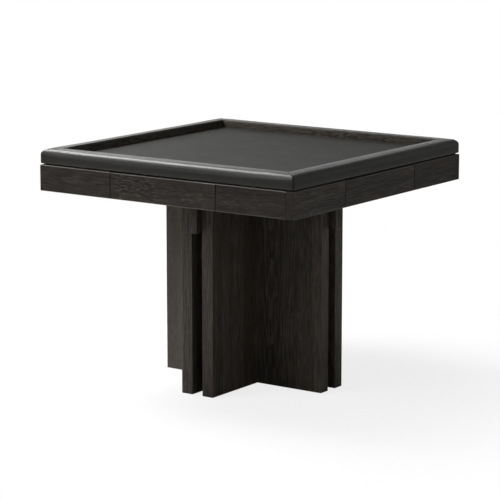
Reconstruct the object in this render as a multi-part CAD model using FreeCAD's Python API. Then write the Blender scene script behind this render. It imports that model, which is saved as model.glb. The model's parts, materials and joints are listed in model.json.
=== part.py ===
"""A square mahjong table.

A leather-padded rim stands round a sunken playing surface. Below it an apron holds one drawer on
each side, and the whole top rests on a pedestal of upright panels in a cross, with slots between
the panels.

Lengths are in millimetres, angles in degrees. The origin is on the floor under the middle of the
table, +Z is up, and the front is on the -Y side. Each side is modelled once, as the front, and
turned to the other three places.
"""

import FreeCAD
import Part

import math
import os

from FreeCAD import Vector

# Whole table
TABLE_SIDE = 990.0  # between the apron's opposite outer faces
TABLE_HEIGHT = 788.0  # from the floor to the top of the rim
EDGE_EASE = 1.0  # small bevel along the edges of visible boards
CUT_OVERRUN = 5.0  # how far a cutting tool passes the face that it cuts

# Rim and playing well
RIM_WIDTH = 54.0  # from the outer face to the wall of the well
WELL_DEPTH = 27.0  # from the top of the rim to the playing surface
PLAYING_THICK = 3.0  # leather over a thin underlay
PLAYING_CLEARANCE = 0.3  # between the playing leather and the wall of the well
SHADOW_GAP = 4.0  # open line between the rim and the apron
CROWN_WIDTH = 45.0  # from the outer face to where the padded crown runs level
CROWN_RISE = 20.0  # height of the padded crown
SHOULDER_SHARE = 0.95  # radius of the crown's outer shoulder, as a share of its rise
PAD_FOOT_RADIUS = 4.5  # rounding of the pad's lower edge
PAD_LIP_RADIUS = 2.0  # rounding of the pad's edge over the well
PAD_CORNER_RADIUS = 4.0  # rounding of the rim's corners, seen from above
PAD_SIDE_THICK = 6.0  # padding over the core's outer face
PAD_LIP_THICK = 4.0  # padding over the core's top, beside the well
PAD_SHOULDER_DEPTH = 2.5  # how far the core's shoulder lies below the foot of the crown

# Deck under the playing surface
DECK_THICK = 22.0
DECK_INSET = 10.0  # from the apron's outer face to the deck's edge

# Apron
APRON_HEIGHT = 85.0
APRON_THICK = 28.0
CORNER_BLOCK_LEG = 60.0

# Floor of the apron and the walls of the four drawer bays
FLOOR_THICK = 12.0
FLOOR_RECESS = 9.0  # from the apron's lower edge up to the floor's underside
BAY_WALL_THICK = 15.0

# Drawers
DRAWER_FRONT_WIDTH = 410.0
DRAWER_FRONT_THICK = 22.0
DRAWER_SIDE_REVEAL = 1.7  # gap between a drawer front and the board beside it
DRAWER_TOP_CLEARANCE = 0.8  # between a drawer front and the deck
DRAWER_BACK_CLEARANCE = 5.0  # from a drawer's back to the inner end of its bay
BOX_WALL_THICK = 12.0
BOX_HEIGHT = 48.0
BOX_LIFT = 6.0  # from the floor to the underside of a drawer's sides
BOX_BOTTOM_THICK = 6.0
BOX_BOTTOM_LIFT = 6.0  # from the underside of a drawer's sides to its bottom panel
GROOVE_DEPTH = 5.0  # how deep the bottom panel's groove is cut in the box walls
GROOVE_PLAY = 0.3  # between the bottom panel's edge and the end of its groove
FINGER_GROOVE_RADIUS = 9.0
FINGER_GROOVE_LENGTH = 160.0
FINGER_LIP = 3.0  # wood left below the finger groove

# Telescopic drawer runners
RUNNER_THICK = 12.7
RUNNER_HEIGHT = 35.0
RUNNER_GAUGE = 1.2  # sheet steel
RUNNER_PLAY = 0.4  # running clearance between two members
RUNNER_SETBACK = 3.0  # from the apron's inner face to the front of a runner

# Pedestal
ARM_REACH = 313.0  # from the middle to the ends of the upright panels
PANEL_THICK = 42.0
SLOT_WIDTH = 40.0  # between the two panels of an arm, and so the thickness of the rails in it
UPPER_RAIL_HEIGHT = 122.0
UPPER_RAIL_OVERHANG = 27.0  # how far an upper rail passes the ends of the panels
LOWER_RAIL_HEIGHT = 80.0
LOWER_RAIL_LIFT = 20.0  # from the panels' lower edges to the lower rails
LOWER_RAIL_SETBACK = 90.0  # from the ends of the panels to the ends of the lower rails

# Glides under the pedestal
GLIDE_HEIGHT = 2.0
GLIDE_RADIUS = 13.0
GLIDE_INSET = 40.0  # from the end of a panel to the middle of its glide
GLIDE_STEM_RADIUS = 4.0
GLIDE_STEM_LENGTH = 14.0

# Dowels through the rails
DOWEL_RADIUS = 6.0
DOWEL_BITE = 20.0  # how far a dowel enters each panel
UPPER_DOWEL_SHARES = (0.36, 0.87)  # places along an arm, of its reach
LOWER_DOWEL_SHARES = (0.5, 0.86)  # places along a lower rail, of its reach

# Bolts from the upper rails into nuts on the apron's floor
BOLT_RADIUS = 4.0
BOLT_HEAD_RADIUS = 7.0
BOLT_HEAD_HEIGHT = 5.0
BOLT_GRIP = 40.0  # wood of the rail above a bolt's head
BOLT_SHARE = 0.62  # place along an arm, of its reach
COUNTERBORE_RADIUS = 9.0
NUT_BARREL_RADIUS = 5.0
NUT_FLANGE_RADIUS = 11.0
NUT_FLANGE_THICK = 1.5

# Screws from the deck into the rim's cores
SCREW_RADIUS = 2.2
SCREW_HEAD_RADIUS = 4.2
SCREW_HEAD_HEIGHT = 3.0
SCREW_BITE = 16.0  # how far a screw enters the core
SCREW_INSET = 12.0  # from the apron's inner face to a screw's axis
SCREW_SHARES = (-0.36, -0.13, 0.13, 0.36)  # places along a side, of the table's side

HOLE_PLAY = 0.1  # radial clearance of round pieces in their holes

# Directions and angles
UP = Vector(0, 0, 1)
ALONG_X = Vector(1, 0, 0)
ALONG_Y = Vector(0, 1, 0)
ORIGIN = Vector(0, 0, 0)
QUARTER_TURN = 90.0
SIDES = ("front", "right", "back", "left")

# Levels, from the top down
deck_top = TABLE_HEIGHT - WELL_DEPTH - PLAYING_THICK
deck_bottom = deck_top - DECK_THICK
rim_bottom = deck_bottom + SHADOW_GAP
crown_foot = TABLE_HEIGHT - CROWN_RISE
core_top = TABLE_HEIGHT - PAD_LIP_THICK
core_shoulder = crown_foot - PAD_SHOULDER_DEPTH
apron_top = deck_bottom
apron_bottom = apron_top - APRON_HEIGHT
floor_bottom = apron_bottom + FLOOR_RECESS
floor_top = floor_bottom + FLOOR_THICK
pedestal_top = floor_bottom
upper_rail_bottom = pedestal_top - UPPER_RAIL_HEIGHT
lower_rail_bottom = GLIDE_HEIGHT + LOWER_RAIL_LIFT
lower_rail_top = lower_rail_bottom + LOWER_RAIL_HEIGHT
box_bottom = floor_top + BOX_LIFT
box_top = box_bottom + BOX_HEIGHT
bottom_panel_low = box_bottom + BOX_BOTTOM_LIFT
bottom_panel_high = bottom_panel_low + BOX_BOTTOM_THICK

# Distances from the middle of the table
outer = TABLE_SIDE / 2
inner = outer - APRON_THICK
well = outer - RIM_WIDTH
bay = DRAWER_FRONT_WIDTH / 2 + DRAWER_SIDE_REVEAL
bay_end = bay + BAY_WALL_THICK
box_half = bay - RUNNER_THICK
box_clear = box_half - BOX_WALL_THICK
box_front = outer - DRAWER_FRONT_THICK
box_back = bay_end + DRAWER_BACK_CLEARANCE
slot_half = SLOT_WIDTH / 2
arm_half = slot_half + PANEL_THICK
upper_rail_reach = ARM_REACH + UPPER_RAIL_OVERHANG
lower_rail_reach = ARM_REACH - LOWER_RAIL_SETBACK


# Helpers


def block(x_span, y_span, z_span):
    """A box between the low and high ends of three spans."""
    spans = (x_span, y_span, z_span)
    lengths = [high - low for low, high in spans]
    return Part.makeBox(*lengths, Vector(*[low for low, _ in spans]))


def eased_block(x_span, y_span, z_span):
    """A board with a small bevel on all its edges."""
    board = block(x_span, y_span, z_span)
    return board.makeChamfer(EDGE_EASE, board.Edges)


def prism(points, z_span):
    """An upright prism on an outline in plan."""
    low, high = z_span
    corners = [Vector(x, y, low) for x, y in points]
    face = Part.Face(Part.makePolygon(corners + corners[:1]))
    return face.extrude(UP * (high - low))


def upright_cylinder(radius, place, z_span):
    """A cylinder standing at a place in plan."""
    low, high = z_span
    return Part.makeCylinder(radius, high - low, Vector(*place, low), UP)


def turned(shape, quarters):
    """A copy turned about the table's upright axis by a number of quarter turns."""
    copy = shape.copy()
    copy.rotate(ORIGIN, UP, QUARTER_TURN * quarters)
    return copy


def mirrored_left(shape):
    """A copy on the other side of the middle plane between left and right."""
    return shape.mirror(ORIGIN, ALONG_X)


def all_round(shapes):
    """Every shape at all four sides."""
    return [turned(shape, quarters) for quarters in range(len(SIDES)) for shape in shapes]


def cut_all(shape, tools):
    """A shape less a list of tools."""
    return shape.cut(tools) if tools else shape


# Rim


def arc_about(centre, radius, start, end):
    """An arc in the rim's section, by its centre and its start and end angles."""
    middle = (start + end) / 2
    points = []
    for angle in (start, middle, end):
        across = centre[0] + radius * math.cos(math.radians(angle))
        height = centre[1] + radius * math.sin(math.radians(angle))
        points.append(section_point((across, height)))
    return Part.Arc(*points).toShape()


def section_point(point):
    """A point of the front rim's section, given by its distance from the outer face and its height."""
    across, height = point
    return Vector(-outer, across - outer, height)


def section_lines(points):
    """Straight edges through points of the rim's section."""
    places = [section_point(point) for point in points]
    return [Part.makeLine(*pair) for pair in zip(places, places[1:])]


def crown_arcs():
    """The padded crown: a round shoulder over the outer face that runs into a wide, level arc."""
    shoulder = CROWN_RISE * SHOULDER_SHARE
    width = CROWN_WIDTH - shoulder
    wide = (width**2 - shoulder**2 + CROWN_RISE**2) / (CROWN_RISE - shoulder) / 2
    shoulder_centre = (shoulder, crown_foot)
    wide_centre = (CROWN_WIDTH, TABLE_HEIGHT - wide)
    rise = crown_foot - wide_centre[1]
    meeting = math.degrees(math.atan2(rise, shoulder - CROWN_WIDTH))
    shoulder_arc = arc_about(shoulder_centre, shoulder, 2 * QUARTER_TURN, meeting)
    wide_arc = arc_about(wide_centre, wide, meeting, QUARTER_TURN)
    return [shoulder_arc, wide_arc]


def rim_length(edges):
    """One side of the rim: a section drawn out along the side and mitred at both ends."""
    length = Part.Face(Part.Wire(edges)).extrude(ALONG_X * TABLE_SIDE)
    reach = outer + CUT_OVERRUN
    mitre = prism([(-reach, -reach), (reach, -reach), (0, 0)], (0, TABLE_HEIGHT + CUT_OVERRUN))
    return length.common(mitre)


def rim_core():
    """The wooden core, whose inner face is the well's wall and whose flange hangs over the deck's edge."""
    outline = [
        (PAD_SIDE_THICK, rim_bottom),
        (PAD_SIDE_THICK, core_shoulder),
        (CROWN_WIDTH, core_top),
        (RIM_WIDTH, core_top),
        (RIM_WIDTH, deck_top),
        (DECK_INSET, deck_top),
        (DECK_INSET, rim_bottom),
        (PAD_SIDE_THICK, rim_bottom),
    ]
    return cut_all(rim_length(section_lines(outline)), screw_holes())


def rim_pad():
    """The leather-covered pad over the core, with its crown and its rounded lower edge."""
    foot_centre = (PAD_FOOT_RADIUS, rim_bottom + PAD_FOOT_RADIUS)
    foot = arc_about(foot_centre, PAD_FOOT_RADIUS, -QUARTER_TURN, -2 * QUARTER_TURN)
    lip_start = (RIM_WIDTH - PAD_LIP_RADIUS, TABLE_HEIGHT)
    lip_end = (RIM_WIDTH, TABLE_HEIGHT - PAD_LIP_RADIUS)
    lip = arc_about((lip_start[0], lip_end[1]), PAD_LIP_RADIUS, QUARTER_TURN, 0)
    edges = section_lines([(PAD_SIDE_THICK, rim_bottom), (PAD_FOOT_RADIUS, rim_bottom)])
    edges += [foot]
    edges += section_lines([(0, rim_bottom + PAD_FOOT_RADIUS), (0, crown_foot)])
    edges += crown_arcs()
    edges += section_lines([(CROWN_WIDTH, TABLE_HEIGHT), lip_start])
    edges += [lip]
    inside = [
        lip_end,
        (RIM_WIDTH, core_top),
        (CROWN_WIDTH, core_top),
        (PAD_SIDE_THICK, core_shoulder),
        (PAD_SIDE_THICK, rim_bottom),
    ]
    edges += section_lines(inside)
    return rim_length(edges).common(rounded_column())


def rounded_column():
    """An upright column over the whole table with the rim's rounded corners."""
    column = block((-outer, outer), (-outer, outer), (0, TABLE_HEIGHT + CUT_OVERRUN))
    upright = [edge for edge in column.Edges if abs(edge.tangentAt(edge.FirstParameter).z) > 0]
    return column.makeFillet(PAD_CORNER_RADIUS, upright)


def screw_places():
    """Where the rim's screws stand along the front."""
    return [(TABLE_SIDE * share, SCREW_INSET - inner) for share in SCREW_SHARES]


def screw_holes():
    """Holes for the front's screws, through the deck and into the core."""
    radius = SCREW_RADIUS + HOLE_PLAY
    span = (deck_bottom - CUT_OVERRUN, deck_top + SCREW_BITE)
    return [upright_cylinder(radius, place, span) for place in screw_places()]


def rim_screws():
    """Pan-headed screws from under the deck into the cores."""
    screws = []
    for place in screw_places():
        head = upright_cylinder(SCREW_HEAD_RADIUS, place, (deck_bottom - SCREW_HEAD_HEIGHT, deck_bottom))
        shank = upright_cylinder(SCREW_RADIUS, place, (deck_bottom, deck_top + SCREW_BITE))
        screws.append(head.fuse(shank).removeSplitter())
    return Part.makeCompound(all_round(screws))


# Deck, apron and drawer bays


def deck():
    """The board that carries the rim and the playing surface, with its edge back in the shadow line."""
    reach = outer - DECK_INSET
    board = block((-reach, reach), (-reach, reach), (deck_bottom, deck_top))
    return cut_all(board, all_round(screw_holes()))


def playing_surface():
    """The leather laid in the bottom of the well."""
    reach = well - PLAYING_CLEARANCE
    return block((-reach, reach), (-reach, reach), (deck_top, deck_top + PLAYING_THICK))


def apron_left():
    """The fixed board left of the drawer, which runs through to the corner."""
    return eased_block((-outer, -bay), (-outer, -inner), (apron_bottom, apron_top))


def apron_right():
    """The fixed board right of the drawer, which butts on the next side's left board."""
    return eased_block((bay, inner), (-outer, -inner), (apron_bottom, apron_top))


def corner_blocks():
    """Three-cornered blocks glued into the apron's corners."""
    near = inner - CORNER_BLOCK_LEG
    corner = prism([(inner, -inner), (inner, -near), (near, -inner)], (floor_top, deck_bottom))
    return Part.makeCompound(all_round([corner]))


def apron_floor():
    """The board inside the apron that the pedestal is bolted to."""
    board = block((-inner, inner), (-inner, inner), (floor_bottom, floor_top))
    hole_span = (floor_bottom - CUT_OVERRUN, floor_top + CUT_OVERRUN)
    hole = bolt_cylinder(NUT_BARREL_RADIUS + HOLE_PLAY, hole_span)
    return cut_all(board, all_round([hole]))


def bay_walls():
    """The upright boards beside each drawer: the left one passes the end of its neighbour."""
    height = (floor_top, deck_bottom)
    left = block((-bay_end, -bay), (-inner, -bay), height)
    right = block((bay, bay_end), (-inner, -bay_end), height)
    return Part.makeCompound(all_round([left, right]))


# Drawers


def drawer_front():
    """The front of a drawer, level with the apron, with a finger groove behind its lower edge."""
    half = DRAWER_FRONT_WIDTH / 2
    z_span = (apron_bottom, apron_top - DRAWER_TOP_CLEARANCE)
    board = eased_block((-half, half), (-outer, -box_front), z_span)
    height = apron_bottom + FINGER_LIP + FINGER_GROOVE_RADIUS
    start = Vector(-FINGER_GROOVE_LENGTH / 2, -box_front, height)
    return board.cut(Part.makeCylinder(FINGER_GROOVE_RADIUS, FINGER_GROOVE_LENGTH, start, ALONG_X))


def drawer_bottom(play):
    """A drawer's bottom panel, less some play at its edges."""
    reach = GROOVE_DEPTH - play
    x_span = (-box_clear - reach, box_clear + reach)
    y_span = (-box_front + BOX_WALL_THICK - reach, -box_back - BOX_WALL_THICK + reach)
    return block(x_span, y_span, (bottom_panel_low, bottom_panel_high))


def drawer_box():
    """The two sides, the inner front and the back of a drawer, grooved for its bottom panel."""
    height = (box_bottom, box_top)
    right = block((box_clear, box_half), (-box_front, -box_back), height)
    inner_front = block((-box_clear, box_clear), (-box_front, -box_front + BOX_WALL_THICK), height)
    back = block((-box_clear, box_clear), (-box_back - BOX_WALL_THICK, -box_back), height)
    walls = [right, mirrored_left(right), inner_front, back]
    groove = drawer_bottom(0)
    return Part.makeCompound([wall.cut(groove) for wall in walls])


def channel(web, lip, half_height):
    """A length of runner in a C section, whose web and lips lie at distances from the wall of the bay."""
    middle = (box_bottom + box_top) / 2
    y_span = (-inner + RUNNER_SETBACK, -box_back)
    low, high = sorted((web, lip))
    whole = block((bay - high, bay - low), y_span, (middle - half_height, middle + half_height))
    if web < lip:
        low += RUNNER_GAUGE
        high += CUT_OVERRUN
    else:
        low -= CUT_OVERRUN
        high -= RUNNER_GAUGE
    space = half_height - RUNNER_GAUGE
    y_cut = (y_span[0] - CUT_OVERRUN, y_span[1] + CUT_OVERRUN)
    return whole.cut(block((bay - high, bay - low), y_cut, (middle - space, middle + space)))


def runner_pair(web, lip, half_height):
    """The same member of a drawer's right and left runners."""
    right = channel(web, lip, half_height)
    return [right, mirrored_left(right)]


def fixed_runners():
    """The members screwed to the walls of the bays."""
    pair = runner_pair(0, RUNNER_THICK - RUNNER_GAUGE, RUNNER_HEIGHT / 2)
    return Part.makeCompound(all_round(pair))


def middle_runners():
    """The members between the fixed ones and the drawer's own, which move half as far as the drawer."""
    step = RUNNER_GAUGE + RUNNER_PLAY
    return Part.makeCompound(runner_pair(step, RUNNER_THICK - step, RUNNER_HEIGHT / 2 - step))


def drawer_runners():
    """The members screwed to a drawer's sides."""
    step = 2 * (RUNNER_GAUGE + RUNNER_PLAY)
    return Part.makeCompound(runner_pair(RUNNER_THICK, step, RUNNER_HEIGHT / 2 - step))


# Pedestal


def dowel(share, reach, height, play):
    """A dowel across the front arm, through its rail and into both panels."""
    half = slot_half + DOWEL_BITE
    start = Vector(-half, -share * reach, height)
    return Part.makeCylinder(DOWEL_RADIUS + play, 2 * half, start, ALONG_X)


def arm_dowels(play):
    """The dowels of the front arm, or the holes for them."""
    upper_height = (upper_rail_bottom + pedestal_top) / 2
    lower_height = (lower_rail_bottom + lower_rail_top) / 2
    upper = [dowel(share, ARM_REACH, upper_height, play) for share in UPPER_DOWEL_SHARES]
    lower = [dowel(share, lower_rail_reach, lower_height, play) for share in LOWER_DOWEL_SHARES]
    return upper + lower


def rail_dowels():
    """The dowels of all four arms."""
    return Part.makeCompound(all_round(arm_dowels(0)))


def glide_place():
    """Where the glide stands under the front arm's right panel."""
    return (slot_half + PANEL_THICK / 2, GLIDE_INSET - ARM_REACH)


def glide_stem(play):
    """The stem of that glide, or the hole for it."""
    z_span = (GLIDE_HEIGHT, GLIDE_HEIGHT + GLIDE_STEM_LENGTH)
    return upright_cylinder(GLIDE_STEM_RADIUS + play, glide_place(), z_span)


def floor_glides():
    """Round glides pressed into the lower edges of the panels."""
    disc = upright_cylinder(GLIDE_RADIUS, glide_place(), (0, GLIDE_HEIGHT))
    right = disc.fuse(glide_stem(0)).removeSplitter()
    return Part.makeCompound(all_round([right, mirrored_left(right)]))


def arm_panel():
    """The right panel of the front arm, mitred where it meets the front panel of the right arm."""
    outline = [
        (slot_half, EDGE_EASE - ARM_REACH),
        (slot_half + EDGE_EASE, -ARM_REACH),
        (arm_half - EDGE_EASE, -ARM_REACH),
        (arm_half, EDGE_EASE - ARM_REACH),
        (arm_half, -arm_half),
        (slot_half, -slot_half),
    ]
    panel = prism(outline, (GLIDE_HEIGHT, pedestal_top))
    return cut_all(panel, arm_dowels(HOLE_PLAY) + [glide_stem(HOLE_PLAY)])


def bolt_cylinder(radius, z_span):
    """A cylinder on the axis of the front arm's bolt."""
    return upright_cylinder(radius, (0, -BOLT_SHARE * ARM_REACH), z_span)


def bolt_seat():
    """The height that a bolt's head rests against."""
    return pedestal_top - BOLT_GRIP


def bolts():
    """Bolts from the upper rails up into the nuts on the apron's floor."""
    head = bolt_cylinder(BOLT_HEAD_RADIUS, (bolt_seat() - BOLT_HEAD_HEIGHT, bolt_seat()))
    shank = bolt_cylinder(BOLT_RADIUS, (bolt_seat(), floor_top + NUT_FLANGE_THICK))
    return Part.makeCompound(all_round([head.fuse(shank).removeSplitter()]))


def flange_nuts():
    """Nuts with a barrel in the apron's floor and a flange on it."""
    barrel = bolt_cylinder(NUT_BARREL_RADIUS, (floor_bottom, floor_top))
    flange = bolt_cylinder(NUT_FLANGE_RADIUS, (floor_top, floor_top + NUT_FLANGE_THICK))
    bore = bolt_cylinder(BOLT_RADIUS + HOLE_PLAY, (floor_bottom - CUT_OVERRUN, floor_top + CUT_OVERRUN))
    return Part.makeCompound(all_round([barrel.fuse(flange).removeSplitter().cut(bore)]))


def rail_along_y(reach, z_span, half_lap):
    """A rail from the front arm to the back arm, with its half of the joint where the rails cross."""
    rail = eased_block((-slot_half, slot_half), (-reach, reach), z_span)
    lap = block((-slot_half, slot_half), (-slot_half, slot_half), half_lap)
    return rail.cut(lap)


def crossed_rails(reach, z_span):
    """The front-to-back rail and the left-to-right rail of one level, halved over each other."""
    low, high = z_span
    middle = (low + high) / 2
    along_y = rail_along_y(reach, z_span, (low - CUT_OVERRUN, middle))
    along_x = turned(rail_along_y(reach, z_span, (middle, high + CUT_OVERRUN)), 1)
    return along_y, along_x


def upper_rails():
    """The rails that carry the top, bored for the dowels and for the bolts and their heads."""
    counterbore = bolt_cylinder(COUNTERBORE_RADIUS, (upper_rail_bottom - CUT_OVERRUN, bolt_seat()))
    bore = bolt_cylinder(BOLT_RADIUS + HOLE_PLAY, (upper_rail_bottom, pedestal_top + CUT_OVERRUN))
    tools = all_round([counterbore, bore] + arm_dowels(HOLE_PLAY))
    rails = crossed_rails(upper_rail_reach, (upper_rail_bottom, pedestal_top))
    return [rail.cut(tools) for rail in rails]


def lower_rails():
    """The rails low down between the panels, bored for the dowels."""
    rails = crossed_rails(lower_rail_reach, (lower_rail_bottom, lower_rail_top))
    return [rail.cut(all_round(arm_dowels(HOLE_PLAY))) for rail in rails]


# Assembly


def pedestal_nodes():
    """Every piece of the pedestal by name."""
    nodes = {}
    right_panel = arm_panel()
    left_panel = mirrored_left(right_panel)
    for quarters, side in enumerate(SIDES):
        nodes[side + "_arm_right_panel"] = turned(right_panel, quarters)
        nodes[side + "_arm_left_panel"] = turned(left_panel, quarters)
    nodes["upper_rail_front_to_back"], nodes["upper_rail_left_to_right"] = upper_rails()
    nodes["lower_rail_front_to_back"], nodes["lower_rail_left_to_right"] = lower_rails()
    nodes["rail_dowels"] = rail_dowels()
    nodes["floor_glides"] = floor_glides()
    nodes["top_bolts"] = bolts()
    nodes["flange_nuts"] = flange_nuts()
    return nodes


def top_nodes():
    """Every fixed piece of the top by name."""
    nodes = {
        "apron_floor": apron_floor(),
        "bay_walls": bay_walls(),
        "corner_blocks": corner_blocks(),
        "fixed_runners": fixed_runners(),
        "deck": deck(),
        "playing_surface": playing_surface(),
        "rim_screws": rim_screws(),
    }
    repeated = {
        "apron_left": apron_left(),
        "apron_right": apron_right(),
        "rim_core": rim_core(),
        "rim_pad": rim_pad(),
    }
    for quarters, side in enumerate(SIDES):
        for name, shape in repeated.items():
            nodes[side + "_" + name] = turned(shape, quarters)
    return nodes


def drawer_nodes():
    """Every piece of the four drawers and their moving runners by name."""
    repeated = {
        "drawer_front": drawer_front(),
        "drawer_box": drawer_box(),
        "drawer_bottom": drawer_bottom(GROOVE_PLAY),
        "drawer_runners": drawer_runners(),
        "middle_runners": middle_runners(),
    }
    nodes = {}
    for quarters, side in enumerate(SIDES):
        for name, shape in repeated.items():
            nodes[side + "_" + name] = turned(shape, quarters)
    return nodes


os.makedirs("parts", exist_ok=True)
for node, solid in {**pedestal_nodes(), **top_nodes(), **drawer_nodes()}.items():
    solid.exportStep("parts/" + node + ".step")
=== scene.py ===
"""A square mahjong table in dark stained oak, dressed over its construction model.

The boards, rails and fittings of the construction model stay as they are and get their finishes here.
The four leather pads of the rim, the leather on the playing surface and the felt mats in the drawers
are modelled here, each in the space that its plain solid holds.

Lengths are in metres and angles in radians. +Z is up and the front is on the -Y side. What repeats on
the four sides is made at the front and turned to the others.
"""

import json
import logging
import math
from dataclasses import dataclass
from enum import Enum
from typing import Any, Optional, Sequence, Union

import bmesh
import bpy
from mathutils import Matrix, Vector


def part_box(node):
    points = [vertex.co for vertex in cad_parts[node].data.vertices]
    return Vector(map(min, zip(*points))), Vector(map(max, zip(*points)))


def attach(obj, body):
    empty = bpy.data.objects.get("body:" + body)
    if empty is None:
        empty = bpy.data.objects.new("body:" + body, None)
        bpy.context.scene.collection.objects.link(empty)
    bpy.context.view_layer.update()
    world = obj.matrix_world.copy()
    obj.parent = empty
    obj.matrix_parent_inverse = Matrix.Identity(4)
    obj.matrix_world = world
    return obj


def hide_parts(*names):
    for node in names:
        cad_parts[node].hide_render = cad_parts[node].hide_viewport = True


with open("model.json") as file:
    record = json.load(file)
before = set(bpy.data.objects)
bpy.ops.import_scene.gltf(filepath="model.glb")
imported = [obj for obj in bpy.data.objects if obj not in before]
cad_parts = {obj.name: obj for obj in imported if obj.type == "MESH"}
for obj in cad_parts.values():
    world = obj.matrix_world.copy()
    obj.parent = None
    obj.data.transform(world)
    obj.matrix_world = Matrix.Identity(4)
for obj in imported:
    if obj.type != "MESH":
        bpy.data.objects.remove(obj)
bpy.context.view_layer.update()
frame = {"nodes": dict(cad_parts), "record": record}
log = logging.getLogger("mahjong_table")

QUARTER_TURN = math.radians(90)
SMOOTH_ANGLE = math.radians(35)  # edges flatter than this are shaded smooth
DRAWER_WALL = 0.012  # thickness of the sides of a drawer's box
ALONG_SHARE = 0.9  # an edge runs along X where X makes up more than this share of its length

Colour = tuple[float, float, float]
Point = tuple[float, float, float]
Socket = bpy.types.NodeSocket
Piece = bpy.types.Object
Material = bpy.types.Material


def even(value: float) -> Point:
    """The same value three times over."""
    return (value, value, value)


class Side(Enum):
    """A side of the table, by its quarter turns from the front."""

    FRONT = 0
    RIGHT = 1
    BACK = 2
    LEFT = 3

    @property
    def prefix(self) -> str:
        """The word that the names of this side's pieces start with."""
        return self.name.lower()

    @property
    def turn(self) -> Matrix:
        """The turn from the front to this side."""
        return Matrix.Rotation(self.value * QUARTER_TURN, 4, "Z")

    @classmethod
    def of(cls, node: str) -> "Side":
        """The side that a node's name starts with, or the front."""
        named = [side for side in cls if node.startswith(side.prefix + "_")]
        return named[0] if named else cls.FRONT


class Lie(Enum):
    """Which way the grain of a board lies."""

    LEVEL = "along the side of the table"
    UPRIGHT = "from the floor to the top"


class Lamp(Enum):
    """The studio's soft lamps: where each stands, its width and its power in watts."""

    OVERHEAD = ((-1.65, -0.1, 2.75), 1.5, 165.0)
    FRONT = ((-1.8, -3.1, 2.9), 2.2, 82.0)
    RIGHT = ((3.9, -0.8, 1.9), 2.0, 18.0)
    BACK = ((-2.7, 2.6, 2.2), 1.9, 8.5)
    CROWN = ((-1.2, 3.3, 2.4), 0.6, 3.0)  # shows as a band of light along the right pad


# Shader nodes


@dataclass(frozen=True)
class Signal:
    """A number that varies over a surface, whose arithmetic adds Math nodes."""

    bench: "NodeBench"  # the node tree that the socket is in
    socket: Socket  # the output that gives the number

    def __add__(self, other: "Operand") -> "Signal":
        """This plus another."""
        return self.bench.maths("ADD", self, other)

    def __sub__(self, other: "Operand") -> "Signal":
        """This less another."""
        return self.bench.maths("SUBTRACT", self, other)

    def __rsub__(self, other: "Operand") -> "Signal":
        """Another less this."""
        return self.bench.maths("SUBTRACT", other, self)

    def __mul__(self, other: "Operand") -> "Signal":
        """This times another."""
        return self.bench.maths("MULTIPLY", self, other)

    __radd__ = __add__
    __rmul__ = __mul__

    def rising(self, low: float, high: float) -> "Signal":
        """A smooth step from 0 at one level of this to 1 at another.

        Args:
            low: The level where the step starts.
            high: The level where the step ends.

        Returns:
            The step, between 0 and 1.
        """
        sockets = {"Value": self, "From Min": low, "From Max": high}
        node = self.bench.node("ShaderNodeMapRange", sockets, interpolation_type="SMOOTHSTEP")
        return Signal(self.bench, node.outputs[0])


Operand = Union[Signal, Socket, float]


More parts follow.
